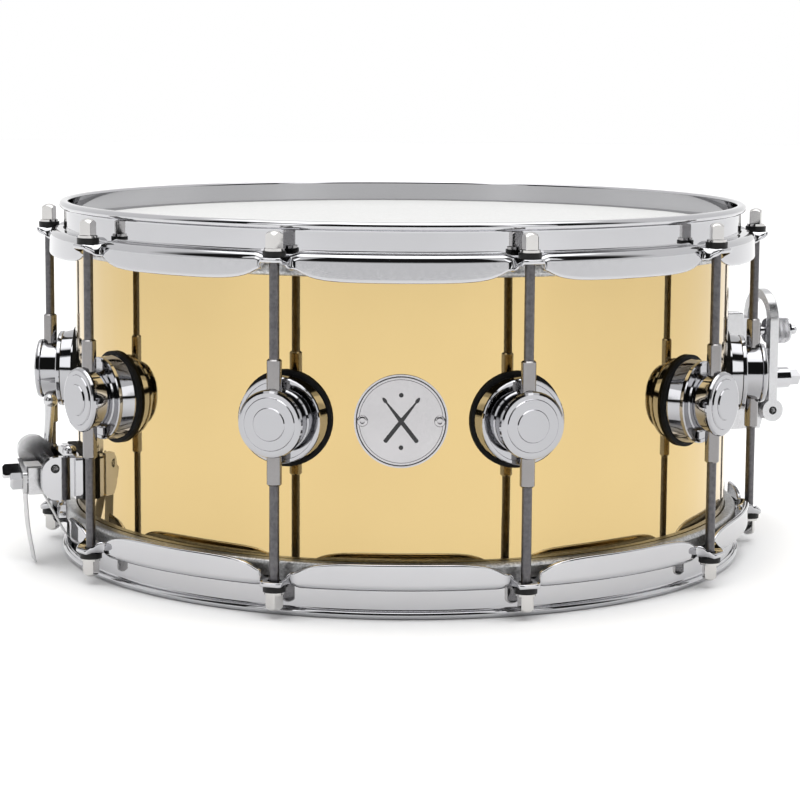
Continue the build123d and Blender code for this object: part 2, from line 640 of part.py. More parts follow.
with BuildPart() as strainer_lever:
    with BuildSketch(facing(STRAINER_ANGLE, LEVER_BACK)):
        with Locations((0, (LEVER_ARCH_HEIGHT + PIVOT_HEIGHT) / 2)):
            Rectangle(2 * LEVER_HALF_WIDTH, LEVER_ARCH_HEIGHT - PIVOT_HEIGHT)
        with Locations((0, LEVER_ARCH_HEIGHT)):
            Circle(LEVER_HALF_WIDTH)
            Circle(LEVER_OPENING, mode=Mode.SUBTRACT)
        with Locations((0, LEVER_ARCH_HEIGHT - 40)):
            Rectangle(2 * LEVER_OPENING, 80, mode=Mode.SUBTRACT)
    extrude(amount=LEVER_THICKNESS)
    fillet(outermost_face(STRAINER_ANGLE).edges(), 1.0)
    with BuildSketch(upright(STRAINER_ANGLE)):
        with Locations((PIVOT_OUT, PIVOT_HEIGHT)):
            Circle(LOBE_RADIUS + 0.2)
    extrude(amount=LEVER_HALF_WIDTH, both=True)
    with BuildSketch(upright(STRAINER_ANGLE)):
        with Locations((PIVOT_OUT, PIVOT_HEIGHT)):
            Circle(LOBE_RADIUS + 4)
    extrude(amount=LEVER_OPENING, both=True, mode=Mode.SUBTRACT)
    with BuildSketch(upright(STRAINER_ANGLE)):
        with Locations((PIVOT_OUT, PIVOT_HEIGHT)):
            Circle(PIN_RADIUS + RUNNING_FIT)
    extrude(amount=LEVER_HALF_WIDTH + 1, both=True, mode=Mode.SUBTRACT)
save(strainer_lever, "strainer_lever")

CARRIAGE_HALF_WIDTH = SLOT_HALF_WIDTH - 0.1
CARRIAGE_BACK = SLOT_BACK + 0.3
CARRIAGE_FRONT = 214.2
STRAP_FRONT = STRAP_CLAMP_OUT + STRAP_THICKNESS / 2
STRAP_BACK = STRAP_CLAMP_OUT - STRAP_THICKNESS / 2
CLAMP_PLATE_HEIGHT = 77.0
KNOB_SHAFT_END = 204.0

with BuildPart() as strainer_carriage:
    with BuildSketch(upright(STRAINER_ANGLE)):
        with BuildLine():
            Polyline(
                (STRAP_FRONT, 67.0),
                (STRAP_FRONT, 89.0),
                (CARRIAGE_BACK, 89.0),
                (CARRIAGE_BACK, 118.0),
                (211.0, 118.0),
                (CARRIAGE_FRONT, 115.0),
                (CARRIAGE_FRONT, 73.0),
                (208.0, 67.0),
                close=True,
            )
        make_face()
    extrude(amount=CARRIAGE_HALF_WIDTH, both=True)
    with BuildSketch(facing(STRAINER_ANGLE, CARRIAGE_BACK - 1, CLAMP_BOLT_HEIGHT)):
        Circle(CLAMP_BOLT_RADIUS + RUNNING_FIT)
    extrude(amount=30, mode=Mode.SUBTRACT)
    with BuildSketch(facing(STRAINER_ANGLE, KNOB_SHAFT_END - 0.5, KNOB_HEIGHT)):
        Circle(KNOB_SHAFT_RADIUS + RUNNING_FIT)
    extrude(amount=20, mode=Mode.SUBTRACT)
save(strainer_carriage, "strainer_carriage")

with BuildPart() as strainer_clamp_plate:
    with BuildSketch(facing(STRAINER_ANGLE, STRAP_BACK - CLAMP_PLATE, CLAMP_PLATE_HEIGHT)):
        Rectangle(2 * CARRIAGE_HALF_WIDTH, 20)
        with Locations((0, CLAMP_BOLT_HEIGHT - CLAMP_PLATE_HEIGHT)):
            Circle(CLAMP_BOLT_RADIUS + RUNNING_FIT, mode=Mode.SUBTRACT)
    extrude(amount=CLAMP_PLATE)
save(strainer_clamp_plate, "strainer_clamp_plate")

with BuildPart() as strainer_clamp_bolt:
    with BuildSketch(facing(STRAINER_ANGLE, STRAP_BACK - CLAMP_PLATE, CLAMP_BOLT_HEIGHT)):
        Circle(CLAMP_BOLT_RADIUS)
    extrude(amount=CARRIAGE_FRONT + 1 - STRAP_BACK + CLAMP_PLATE)
    with BuildSketch(facing(STRAINER_ANGLE, CARRIAGE_FRONT + 0.2, CLAMP_BOLT_HEIGHT)):
        Circle(CLAMP_BOLT_COLLAR_RADIUS)
    extrude(amount=CLAMP_BOLT_COLLAR - CARRIAGE_FRONT - 0.2)
    with BuildSketch(facing(STRAINER_ANGLE, CLAMP_BOLT_COLLAR, CLAMP_BOLT_HEIGHT)):
        Rectangle(KEY_SQUARE, KEY_SQUARE, rotation=30)
    extrude(amount=CLAMP_BOLT_KEY_LENGTH)
    chamfer(outermost_face(STRAINER_ANGLE).edges(), 1.1)
save(strainer_clamp_bolt, "strainer_clamp_bolt")

with BuildPart() as adjust_knob:
    with BuildSketch(facing(STRAINER_ANGLE, KNOB_SHAFT_END, KNOB_HEIGHT)):
        Circle(KNOB_SHAFT_RADIUS)
    extrude(amount=KNOB_BACK + 0.4 - KNOB_SHAFT_END)
    with BuildSketch(facing(STRAINER_ANGLE, KNOB_BACK, KNOB_HEIGHT)):
        Circle(KNOB_RADIUS)
    extrude(amount=KNOB_LENGTH)
    chamfer(outermost_face(STRAINER_ANGLE).edges(), 1.6)
    with BuildSketch(facing(STRAINER_ANGLE, KNOB_BACK + KNOB_LENGTH - 0.5, KNOB_HEIGHT)):
        Circle(KNOB_SHAFT_RADIUS + 0.1)
    extrude(amount=6.3)
save(adjust_knob, "adjust_knob")

# ---------------------------------------------------------------- butt plate
BUTT_BASE = 180.4
BUTT_BOTTOM = 36.4
BUTT_TOP = 58.8
BUTT_PIVOT_OUT = 194.7
BUTT_PIVOT_HEIGHT = 53.0
BUTT_NECK_FRONT = 188.8
BUTT_END = 201.5
BUTT_CHEEK_INSIDE = 18.0
BUTT_CHEEK_OUTSIDE = 23.0
CAM_INSIDE = -10.3  # along the shell, the cam lies between these
CAM_OUTSIDE = -16.7
CLAMP_ALONG = 2.4
CLAMP_HALF_WIDTH = 10.0
CLAMP_BACK = 199.6
CLAMP_OUT = 206.9
CLAMP_BOTTOM = 38.0
CLAMP_TOP = 52.0
# the two key screws: along, height, length of the head and its turn in degrees
KEY_SCREW_RADIUS = 2.0
KEY_SCREWS = {"upper": (-4.6, 48.0, 8.2, 25), "lower": (9.4, 45.0, 6.2, 70)}

butt_middle = (BUTT_BOTTOM + BUTT_TOP) / 2
with BuildPart() as butt_gasket:
    with BuildSketch(facing(BUTT_ANGLE, SHELL_RADIUS - 6, butt_middle)):
        Rectangle(2 * BUTT_CHEEK_OUTSIDE + 2.4, BUTT_TOP - BUTT_BOTTOM + 1.2)
        fillet(vertices(), 2)
        with Locations((0, BUTT_SCREW_HEIGHT - butt_middle)):
            with GridLocations(2 * BUTT_SCREW_ALONG, 0, 2, 1):
                Circle(SCREW_HOLE_RADIUS, mode=Mode.SUBTRACT)
    extrude(amount=BUTT_BASE - SHELL_RADIUS + 6)
    Cylinder(SHELL_RADIUS + SEAT_GAP, 400, mode=Mode.SUBTRACT)
save(butt_gasket, "butt_gasket")

with BuildPart() as butt_body:
    with BuildSketch(facing(BUTT_ANGLE, BUTT_BASE + SEAT_GAP, butt_middle)):
        Rectangle(2 * BUTT_CHEEK_OUTSIDE + 1, BUTT_TOP - BUTT_BOTTOM)
        fillet(vertices(), 2)
    extrude(amount=3.7)
    with BuildSketch(facing(BUTT_ANGLE, BUTT_BASE + 3, butt_middle)):
        Rectangle(41, BUTT_TOP - BUTT_BOTTOM - 2)
    extrude(amount=BUTT_NECK_FRONT - BUTT_BASE - 3)
    for side in (-1, 1):
        with BuildSketch(upright(BUTT_ANGLE, side * (BUTT_CHEEK_INSIDE + BUTT_CHEEK_OUTSIDE) / 2)):
            with BuildLine():
                Polyline(
                    (187.0, BUTT_BOTTOM),
                    (BUTT_END, BUTT_BOTTOM),
                    (BUTT_END, BUTT_TOP),
                    (187.0, BUTT_TOP),
                    close=True,
                )
            cheek = make_face()
            fillet(cheek.vertices().group_by(Axis.X)[-1], 8.0)
        extrude(amount=(BUTT_CHEEK_OUTSIDE - BUTT_CHEEK_INSIDE) / 2, both=True)
    with BuildSketch(upright(BUTT_ANGLE)):
        with Locations((BUTT_PIVOT_OUT, BUTT_PIVOT_HEIGHT)):
            Circle(PIN_RADIUS + 0.01)
    extrude(amount=30, both=True, mode=Mode.SUBTRACT)
    with BuildSketch(facing(BUTT_ANGLE, BUTT_BASE - 1, BUTT_SCREW_HEIGHT)):
        with GridLocations(2 * BUTT_SCREW_ALONG, 0, 2, 1):
            Circle(SCREW_RADIUS + 0.1)
    extrude(amount=7, mode=Mode.SUBTRACT)
save(butt_body, "butt_body")

with BuildPart() as butt_pin:
    with BuildSketch(upright(BUTT_ANGLE)):
        with Locations((BUTT_PIVOT_OUT, BUTT_PIVOT_HEIGHT)):
            Circle(PIN_RADIUS)
    extrude(amount=BUTT_CHEEK_OUTSIDE + 0.1, both=True)
save(butt_pin, "butt_pin")

with BuildPart() as butt_button:
    with BuildSketch(Plane.XY.offset(BUTT_TOP + SEAT_GAP)):
        with Locations(direction_out(BUTT_ANGLE) * 185.0 + direction_along(BUTT_ANGLE) * 10.0):
            Circle(3.6)
    extrude(amount=4.0)
    fillet(faces().sort_by(Axis.Z)[-1].edges(), 2.6)
save(butt_button, "butt_button")

BALL_OUT = 190.9
BALL_HEIGHT = 83.1
BALL_RADIUS = 3.8
STEM_FOOT = (193.2, 54.5)
CAM_LOBE = (200.5, 57.0)
CAM_LOBE_RADIUS = 8.3
cam_along = (CAM_INSIDE + CAM_OUTSIDE) / 2
stem_foot = direction_out(BUTT_ANGLE) * STEM_FOOT[0] + direction_along(BUTT_ANGLE) * cam_along
stem_foot += Vector(0, 0, STEM_FOOT[1])
ball_centre = direction_out(BUTT_ANGLE) * BALL_OUT + direction_along(BUTT_ANGLE) * cam_along
ball_centre += Vector(0, 0, BALL_HEIGHT)
stem = Plane(origin=stem_foot, z_dir=ball_centre - stem_foot)

with BuildPart() as butt_lever:
    with BuildSketch(upright(BUTT_ANGLE, cam_along)):
        with Locations((BUTT_PIVOT_OUT, BUTT_PIVOT_HEIGHT)):
            Circle(5.0)
        with Locations(CAM_LOBE):
            Circle(CAM_LOBE_RADIUS)
        with BuildLine():
            Polyline(
                (191.8, CAM_LOBE[1]),
                (192.0, 61.0),
                (CAM_LOBE[0], CAM_LOBE[1] + CAM_LOBE_RADIUS),
                (CAM_LOBE[0], 50.0),
                (194.0, 48.1),
                close=True,
            )
        make_face()
    extrude(amount=(CAM_INSIDE - CAM_OUTSIDE) / 2, both=True)
    with BuildSketch(stem):
        Circle(2.0)
    with BuildSketch(stem.offset((ball_centre - stem_foot).length)):
        Circle(2.6)
    loft()
    with Locations(ball_centre):
        Sphere(BALL_RADIUS)
    with BuildSketch(upright(BUTT_ANGLE)):
        with Locations((BUTT_PIVOT_OUT, BUTT_PIVOT_HEIGHT)):
            Circle(PIN_RADIUS + RUNNING_FIT)
    extrude(amount=30, both=True, mode=Mode.SUBTRACT)
save(butt_lever, "butt_lever")

with BuildPart() as butt_clamp_block:
    with BuildSketch(facing(BUTT_ANGLE, CLAMP_BACK, (CLAMP_BOTTOM + CLAMP_TOP) / 2, CLAMP_ALONG)):
        Rectangle(2 * CLAMP_HALF_WIDTH, CLAMP_TOP - CLAMP_BOTTOM)
    extrude(amount=CLAMP_OUT - CLAMP_BACK)
    # two guides that reach back to the housing on either side of the strap
    with BuildSketch(facing(BUTT_ANGLE, BUTT_NECK_FRONT + 0.2, 43.0, CLAMP_ALONG)):
        with GridLocations(2 * CLAMP_HALF_WIDTH - 2.2, 0, 2, 1):
            Rectangle(2.2, 9.0)
    extrude(amount=CLAMP_BACK - BUTT_NECK_FRONT + 0.5)
    for along, height, *_ in KEY_SCREWS.values():
        with BuildSketch(facing(BUTT_ANGLE, CLAMP_BACK + 1.5, height, along)):
            Circle(KEY_SCREW_RADIUS + RUNNING_FIT)
        extrude(amount=10, mode=Mode.SUBTRACT)
save(butt_clamp_block, "butt_clamp_block")

PLATE_BACK = CLAMP_OUT + 0.1 + STRAP_THICKNESS + 0.1
PLATE_THICKNESS = 2.2
with BuildPart() as butt_clamp_plate:
    with BuildSketch(facing(BUTT_ANGLE, PLATE_BACK, 46.5, CLAMP_ALONG)):
        RectangleRounded(2 * CLAMP_HALF_WIDTH + 3, 11.5, 1.5, rotation=-12)
    extrude(amount=PLATE_THICKNESS)
    for along, height, *_ in KEY_SCREWS.values():
        with BuildSketch(facing(BUTT_ANGLE, PLATE_BACK - 1, height, along)):
            Circle(KEY_SCREW_RADIUS + RUNNING_FIT)
        extrude(amount=10, mode=Mode.SUBTRACT)
save(butt_clamp_plate, "butt_clamp_plate")

for place, (along, height, head, turn) in KEY_SCREWS.items():
    with BuildPart() as butt_key_screw:
        with BuildSketch(facing(BUTT_ANGLE, CLAMP_BACK + 1.7, height, along)):
            Circle(KEY_SCREW_RADIUS)
        extrude(amount=PLATE_BACK + PLATE_THICKNESS - CLAMP_BACK - 1.4)
        with BuildSketch(facing(BUTT_ANGLE, PLATE_BACK + PLATE_THICKNESS + 0.1, height, along)):
            Rectangle(KEY_SQUARE, KEY_SQUARE, rotation=turn)
        extrude(amount=head)
        chamfer(outermost_face(BUTT_ANGLE).edges(), 1.1)
    save(butt_key_screw, f"butt_key_screw_{place}")

# the screws that hold the throw-off and the butt, put in from inside the shell
with BuildPart() as fitting_screws:
    for height in STRAINER_SCREW_HEIGHTS:
        add(screw_from_inside(STRAINER_ANGLE, height))
    for along in (-BUTT_SCREW_ALONG, BUTT_SCREW_ALONG):
        add(screw_from_inside(BUTT_ANGLE, BUTT_SCREW_HEIGHT, along))
save(fitting_screws, "fitting_screws")

# ---------------------------------------------------------------- snare wires and straps
WIRE_COUNT = 20
WIRE_PITCH = 2.1
WIRE_RADIUS = 1.0
WIRE_HALF_LENGTH = 134.0
WIRE_HEIGHT = SHELL_BOTTOM - FILM - WIRE_RADIUS - 0.15
END_PLATE_LENGTH = 16.0
END_PLATE_THICKNESS = 1.2
END_PLATE_BOTTOM = WIRE_HEIGHT - END_PLATE_THICKNESS / 2
STRAP_LEVEL = END_PLATE_BOTTOM - STRAP_THICKNESS / 2
STRAP_INNER_END = WIRE_HALF_LENGTH + 3

with BuildPart() as snare_wires:
    with BuildSketch(facing(STRAINER_ANGLE, -WIRE_HALF_LENGTH, WIRE_HEIGHT)):
        with GridLocations(WIRE_PITCH, 0, WIRE_COUNT, 1):
            Circle(WIRE_RADIUS)
    extrude(amount=2 * WIRE_HALF_LENGTH)
save(snare_wires, "snare_wires")

with BuildPart() as snare_end_plates:
    for side in (-1, 1):
        with BuildSketch(upright(STRAINER_ANGLE)):
            with Locations((side * (WIRE_HALF_LENGTH + END_PLATE_LENGTH / 2), WIRE_HEIGHT)):
                Rectangle(END_PLATE_LENGTH, END_PLATE_THICKNESS)
    extrude(amount=WIRE_COUNT * WIRE_PITCH / 2 + 0.5, both=True)
save(snare_end_plates, "snare_end_plates")

with BuildPart() as strap_strainer:
    with BuildSketch(upright(STRAINER_ANGLE)):
        with BuildLine():
            FilletPolyline(
                (STRAP_CLAMP_OUT, 86.0),
                (STRAP_CLAMP_OUT, 62.0),
                (184.9, 19.5),
                (176.5, STRAP_LEVEL),
                (STRAP_INNER_END, STRAP_LEVEL),
                radius=4.0,
            )
        trace(line_width=STRAP_THICKNESS)
    extrude(amount=STRAP_HALF_WIDTH, both=True)
    with BuildSketch(facing(STRAINER_ANGLE, STRAP_BACK - 1, CLAMP_BOLT_HEIGHT)):
        Circle(CLAMP_BOLT_RADIUS + 3 * RUNNING_FIT)
    extrude(amount=3, mode=Mode.SUBTRACT)
save(strap_strainer, "strap_strainer")

# the butt strap goes up behind the clamp block, over it, down in front, and hangs free
STRAP_CLEARANCE = STRAP_THICKNESS / 2 + 0.1
with BuildPart() as strap_butt:
    with BuildSketch(upright(BUTT_ANGLE, CLAMP_ALONG)):
        with BuildLine():
            FilletPolyline(
                (STRAP_INNER_END, STRAP_LEVEL),
                (176.5, STRAP_LEVEL),
                (186.0, 13.8),
                (CLAMP_BACK - STRAP_CLEARANCE, 39.5),
                (CLAMP_BACK - STRAP_CLEARANCE, CLAMP_TOP + STRAP_CLEARANCE),
                (CLAMP_OUT + STRAP_CLEARANCE, CLAMP_TOP + STRAP_CLEARANCE),
                (CLAMP_OUT + STRAP_CLEARANCE, 36.0),
                (206.2, 20.0),
                (203.0, 1.5),
                radius=[6.0, 8.0, 8.0, 0.4, 0.4, 40.0, 60.0],
            )
        trace(line_width=STRAP_THICKNESS)
    extrude(amount=STRAP_HALF_WIDTH, both=True)
    for along, height, *_ in KEY_SCREWS.values():
        with BuildSketch(facing(BUTT_ANGLE, CLAMP_OUT - 0.5, height, along)):
            Circle(KEY_SCREW_RADIUS + 3 * RUNNING_FIT)
        extrude(amount=2, mode=Mode.SUBTRACT)
save(strap_butt, "strap_butt")
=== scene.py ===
import json
from math import cos, degrees, exp, pi, radians, sin, sqrt, tan

import bmesh
import bpy
from mathutils import Euler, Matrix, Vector


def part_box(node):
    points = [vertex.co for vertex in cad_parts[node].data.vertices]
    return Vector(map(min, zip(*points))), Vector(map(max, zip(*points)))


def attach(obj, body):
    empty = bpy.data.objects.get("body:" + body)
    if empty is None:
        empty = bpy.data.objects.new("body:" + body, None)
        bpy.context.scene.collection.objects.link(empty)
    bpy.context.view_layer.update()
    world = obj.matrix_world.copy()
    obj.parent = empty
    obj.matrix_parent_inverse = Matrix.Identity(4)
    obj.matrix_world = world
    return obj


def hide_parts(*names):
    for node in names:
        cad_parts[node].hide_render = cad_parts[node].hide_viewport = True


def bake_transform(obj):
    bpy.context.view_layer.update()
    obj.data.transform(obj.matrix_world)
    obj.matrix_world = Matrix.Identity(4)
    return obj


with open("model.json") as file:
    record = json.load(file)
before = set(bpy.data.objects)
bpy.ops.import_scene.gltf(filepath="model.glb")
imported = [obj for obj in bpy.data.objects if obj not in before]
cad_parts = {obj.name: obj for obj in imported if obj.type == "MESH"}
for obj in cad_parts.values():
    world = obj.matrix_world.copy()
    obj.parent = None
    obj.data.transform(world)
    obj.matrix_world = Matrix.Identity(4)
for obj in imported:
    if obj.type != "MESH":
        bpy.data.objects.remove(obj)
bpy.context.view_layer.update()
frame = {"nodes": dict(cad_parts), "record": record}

# A snare drum in a white studio. Everything is in metres in the frame of the CAD model: its origin is on
# the drum's axis in the plane of the lower rim, and the badge faces -Y. Places around the drum are given
# by the angle from -Y towards +X. "Out" is away from the axis, and "along" is horizontal around the shell.

# ---------------------------------------------------------------- sizes taken from the frame
MM = 0.001
RIM_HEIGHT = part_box("batter_hoop")[1].z
MIDDLE = RIM_HEIGHT / 2
SHELL_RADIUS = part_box("shell")[1].x
EAR_RADIUS = 198.9 * MM
LUG_COUNT = 10
LUG_STEP = 360 / LUG_COUNT
FIRST_LUG = 18
ROD_CIRCLE = 192.5 * MM
STRAINER_ANGLE = 108
BUTT_ANGLE = STRAINER_ANGLE - 180
HEAD_START = 80.5 * MM  # from the drum's middle to where the rods' heads begin


def direction_out(angle):
    return Vector((sin(radians(angle)), -cos(radians(angle)), 0))


def direction_along(angle):
    return Vector((cos(radians(angle)), sin(radians(angle)), 0))


def at(angle, distance, height, along=0.0):
    """The point at that place around the drum."""
    return direction_out(angle) * distance + direction_along(angle) * along + Vector((0, 0, height))


# ---------------------------------------------------------------- materials
def new_material(name):
    material = bpy.data.materials.new(name)
    material.use_nodes = True
    return material, material.node_tree.nodes, material.node_tree.links


def noise(nodes, links, scale, detail=4.0, stretch=(1, 1, 1)):
    """Noise over the object's own coordinates, stretched if it is asked to be."""
    coordinates = nodes.new("ShaderNodeTexCoord")
    mapping = nodes.new("ShaderNodeMapping")
    mapping.inputs["Scale"].default_value = stretch
    texture = nodes.new("ShaderNodeTexNoise")
    texture.inputs["Scale"].default_value = scale
    texture.inputs["Detail"].default_value = detail
    links.new(coordinates.outputs["Object"], mapping.inputs["Vector"])
    links.new(mapping.outputs["Vector"], texture.inputs["Vector"])
    return texture.outputs["Fac"]


def spread(nodes, links, value, low, high):
    """Turns a noise value into one between low and high."""
    ranged = nodes.new("ShaderNodeMapRange")
    ranged.inputs["From Min"].default_value = 0.3
    ranged.inputs["From Max"].default_value = 0.7
    ranged.inputs["To Min"].default_value = low
    ranged.inputs["To Max"].default_value = high
    links.new(value, ranged.inputs["Value"])
    return ranged.outputs["Result"]


def tint(nodes, links, value, first, second):
    """Mixes two colours by a noise value."""
    ramp = nodes.new("ShaderNodeValToRGB")
    ramp.color_ramp.elements[0].position = 0.3
    ramp.color_ramp.elements[1].position = 0.7
    ramp.color_ramp.elements[0].color = (*first, 1)
    ramp.color_ramp.elements[1].color = (*second, 1)
    links.new(value, ramp.inputs["Fac"])
    return ramp.outputs["Color"]


def surface(name, first, second, rough, metallic=0.0, grain=60, bump=0.0, bump_grain=900, stretch=(1, 1, 1),
            transmission=0.0, specular=0.5):
    """A material whose colour and roughness wander a little, with a fine bump."""
    material, nodes, links = new_material(name)
    shader = nodes["Principled BSDF"]
    wander = noise(nodes, links, grain, 4.0, stretch)
    links.new(tint(nodes, links, wander, first, second), shader.inputs["Base Color"])
    fine = noise(nodes, links, bump_grain, 3.0, stretch)
    links.new(spread(nodes, links, fine, *rough), shader.inputs["Roughness"])
    shader.inputs["Metallic"].default_value = metallic
    shader.inputs["Transmission Weight"].default_value = transmission
    shader.inputs["Specular IOR Level"].default_value = specular
    if bump:
        bumped = nodes.new("ShaderNodeBump")
        bumped.inputs["Strength"].default_value = bump
        bumped.inputs["Distance"].default_value = 0.0002
        links.new(fine, bumped.inputs["Height"])
        links.new(bumped.outputs["Normal"], shader.inputs["Normal"])
    return material


def rod_steel():
    """Dark steel for the rods, and bright plating for the heads beyond the hoops."""
    material = surface("rod_steel", (0.10, 0.097, 0.103), (0.15, 0.146, 0.152), (0.3, 0.44), 1.0, 500)
    nodes, links = material.node_tree.nodes, material.node_tree.links
    shader = nodes["Principled BSDF"]
    coordinates = nodes.new("ShaderNodeTexCoord")
    split = nodes.new("ShaderNodeSeparateXYZ")
    links.new(coordinates.outputs["Object"], split.inputs["Vector"])
    from_middle = nodes.new("ShaderNodeMath")
    from_middle.operation = "SUBTRACT"
    from_middle.inputs[1].default_value = MIDDLE
    links.new(split.outputs["Z"], from_middle.inputs[0])
    distance = nodes.new("ShaderNodeMath")
    distance.operation = "ABSOLUTE"
    links.new(from_middle.outputs[0], distance.inputs[0])
    is_head = nodes.new("ShaderNodeMath")
    is_head.operation = "GREATER_THAN"
    is_head.inputs[1].default_value = HEAD_START
    links.new(distance.outputs[0], is_head.inputs[0])
    for name, bright in (("Base Color", (0.56, 0.55, 0.54, 1)), ("Roughness", (0.07, 0.07, 0.07, 1))):
        socket = shader.inputs[name]
        mix = nodes.new("ShaderNodeMix")
        mix.data_type = "RGBA"
        mix.inputs["B"].default_value = bright
        links.new(is_head.outputs[0], mix.inputs["Factor"])
        links.new(socket.links[0].from_socket, mix.inputs["A"])
        links.new(mix.outputs["Result"], socket)
    return material


brass = surface("brass_polished", (0.57, 0.423, 0.197), (0.60, 0.45, 0.212), (0.035, 0.06), 1.0, 9, 0.02, 260)
brass_trim = surface("brass_trim", (0.80, 0.58, 0.24), (0.86, 0.63, 0.27), (0.08, 0.16), 1.0, 60, 0.02, 700)
chrome = surface("chrome", (0.49, 0.49, 0.506), (0.515, 0.515, 0.531), (0.025, 0.055), 1.0, 14, 0.015, 300)
lug_plating = surface("lug_plating", (0.385, 0.385, 0.40), (0.405, 0.405, 0.421), (0.03, 0.06), 1.0,
                      14, 0.015, 300)
tube_plating = surface("tube_plating", (0.23, 0.222, 0.222), (0.262, 0.254, 0.254), (0.12, 0.2), 1.0,
                       60, 0.02, 700)
steel = surface("steel", (0.42, 0.42, 0.43), (0.56, 0.56, 0.57), (0.2, 0.34), 1.0, 160, 0.1, 900)
rod = rod_steel()
aluminium = surface("aluminium", (0.30, 0.30, 0.30), (0.60, 0.60, 0.60), (0.3, 0.5), 1.0, 900, 0.5, 1500)
rubber = surface("black_rubber", (0.004, 0.004, 0.004), (0.010, 0.010, 0.010), (0.55, 0.75), 0.0,
                 200, 0.3, 1400, specular=0.12)
nylon = surface("black_nylon", (0.005, 0.005, 0.005), (0.012, 0.012, 0.012), (0.35, 0.5), 0.0,
                200, 0.15, 1400, specular=0.25)
coated = surface("coated_film", (0.56, 0.56, 0.555), (0.61, 0.61, 0.605), (0.5, 0.7), 0.0, 500, 0.5, 2600)
hazy = surface("clear_film", (0.80, 0.82, 0.84), (0.88, 0.89, 0.90), (0.12, 0.25), 0.0, 40, 0.05, 500,
               transmission=0.75)
strap = surface("strap_film", (0.60, 0.60, 0.61), (0.68, 0.68, 0.69), (0.28, 0.4), 0.0, 90, 0.1, 700,
                transmission=0.2)
satin = surface("satin_chrome", (0.52, 0.52, 0.53), (0.56, 0.56, 0.57), (0.2, 0.27), 1.0, 40, 0.02, 700)
badge_metal = surface("badge_metal", (0.46, 0.45, 0.46), (0.505, 0.495, 0.505), (0.2, 0.26), 1.0, 40)
enamel = surface("badge_enamel", (0.008, 0.008, 0.009), (0.016, 0.016, 0.018), (0.2, 0.35), 0.0,
                 300, 0.1, 900)

FINISHES = {
    "brass_polished": brass, "chrome": chrome, "steel_dark": rod, "steel": steel, "aluminium": aluminium,
    "black_rubber": rubber, "black_nylon": nylon, "coated_film": coated, "clear_film": hazy,
    "badge_metal": badge_metal, "strap_film": strap, "brass_trim": brass_trim,
}
OWN_FINISHES = {
    "lug_bodies": lug_plating, "lug_receivers": tube_plating, "strainer_body": satin, "strainer_lever": satin,
    "butt_lever": satin, "butt_clamp_plate": satin, "butt_clamp_block": satin,
}
for row in frame["record"]["subparts"]:
    node = frame["nodes"][row["node"]]
    for place in node.material_slots:
        place.material = OWN_FINISHES.get(row["node"], FINISHES[row["material_slot"]])

# the cast and folded fittings have softened edges, this many millimetres wide
SOFT_EDGED = {
    "strainer_body": 0.5, "strainer_lever": 0.4, "strainer_carriage": 0.35, "butt_body": 0.5,
    "butt_lever": 0.5, "butt_clamp_plate": 0.5, "butt_clamp_block": 0.35,
}
for name, width in SOFT_EDGED.items():
    bevel = frame["nodes"][name].modifiers.new("soft_edges", "BEVEL")
    bevel.width = width * MM
    bevel.segments = 3
    bevel.limit_method = "ANGLE"
    bevel.angle_limit = radians(40)
    bevel.harden_normals = True


# ---------------------------------------------------------------- making pieces
def piece(name, vertices, faces, material, slot, body, sharp=32):
    """A new piece that rides on the body, if one is given, with edges left sharp beyond that many degrees."""
    mesh = bpy.data.meshes.new(name)
    mesh.from_pydata([tuple(v) for v in vertices], [], faces)
    mesh.validate()
    mesh.shade_smooth()
    mesh.set_sharp_from_angle(angle=radians(sharp))
    mesh.materials.append(material)
    made = bpy.data.objects.new(name, mesh)
    bpy.context.scene.collection.objects.link(made)
    if body:
        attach(made, body)
    return made


def outwards(made):
    """Turns the faces of a closed mesh to look out."""
    shape = bmesh.new()
    shape.from_mesh(made.data)
    bmesh.ops.recalc_face_normals(shape, faces=shape.faces)
    shape.to_mesh(made.data)
    shape.free()


def tube_grid(rows, closed_rows, closed_columns):
    """Vertices and faces of a grid given as rows of points."""
    columns = len(rows[0])
    vertices = [point for row in rows for point in row]
    faces = []
    for i in range(len(rows) if closed_rows else len(rows) - 1):
        for j in range(columns if closed_columns else columns - 1):
            here, there = i * columns, (i + 1) % len(rows) * columns
            after = (j + 1) % columns
            faces.append((here + j, here + after, there + after, there + j))
    return vertices, faces


def cut(made, tools, sharp=32):
    """Takes the tools' shapes out of the piece, and removes the tools."""
    for tool in tools:
        modifier = made.modifiers.new("cut", "BOOLEAN")
        modifier.object = tool
        modifier.solver = "EXACT"
    graph = bpy.context.evaluated_depsgraph_get()
    mesh = bpy.data.meshes.new_from_object(made.evaluated_get(graph))
    made.modifiers.clear()
    mesh.shade_smooth()
    mesh.set_sharp_from_angle(angle=radians(sharp))
    made.data = mesh
    for tool in tools:
        bpy.data.objects.remove(tool)


# ---------------------------------------------------------------- hoops
SHEET = 2.4 * MM
WALL_OUTSIDE = 182.6 * MM
WALL_INSIDE = WALL_OUTSIDE - SHEET
RIM_RADIUS = 185.0 * MM
RIM_ROUNDING = 1.2 * MM  # radius of the rim's inner edge
BEAD = 2.1 * MM  # radius of the rim's rounded outer edge
NECK = 1.1 * MM  # radius of the hollow under the bead
FOOT = 0.9 * MM  # radius of the hollow between the wall and the flange
HEEL = 2.6 * MM  # radius of the sheet's inner side at the same place
SHELF = 172.2 * MM  # upper face of the flange
SKIRT_RADIUS = 190.0 * MM
BEND_START = 186.6 * MM
BEND = 3.4 * MM
FULL_BEND = 88  # degrees
EAR_BEND = 0.8
FLAT_LENGTH = EAR_RADIUS - BEND_START  # of the flange beyond the bend's start, at an ear
SKIRT_LENGTH = 15.4 * MM  # the same, measured along the sheet, half way between two ears
TWIST_START = 4.6 * MM  # distances along the hoop from an ear's middle
TWIST_END = 9.8 * MM
